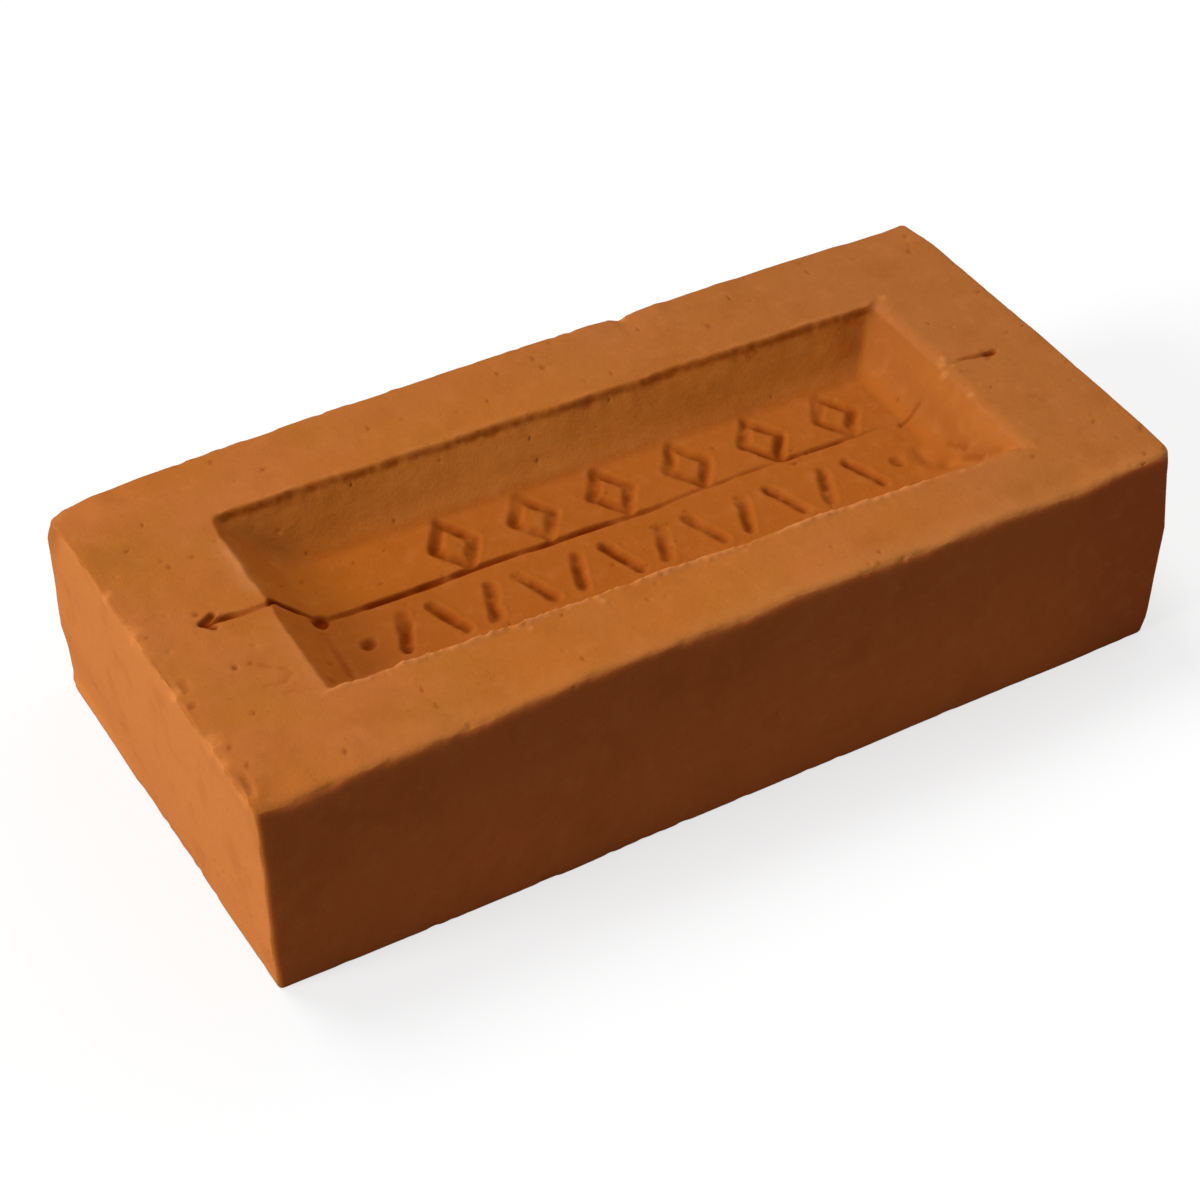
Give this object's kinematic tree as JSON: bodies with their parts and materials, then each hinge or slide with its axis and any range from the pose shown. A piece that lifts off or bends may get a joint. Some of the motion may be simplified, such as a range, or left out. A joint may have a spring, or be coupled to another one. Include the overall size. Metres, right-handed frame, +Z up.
{
  "type": "clay brick",
  "caption": "Solid fired clay brick with a shallow sloping-walled frog in its top, a pressed centre line and plain keying marks.",
  "frame": {"origin": "middle of the bed face that the brick lies on", "axes": "+X along the brick's length, +Y across it, +Z up out of the frog"},
  "size_m": [0.225, 0.105, 0.05],
  "materials": {
    "fired_clay": "matt orange-brown fired clay, fine sandy face"
  },
  "bodies": {
    "root": {"brick": "fired_clay"}
  },
  "joints": []
}
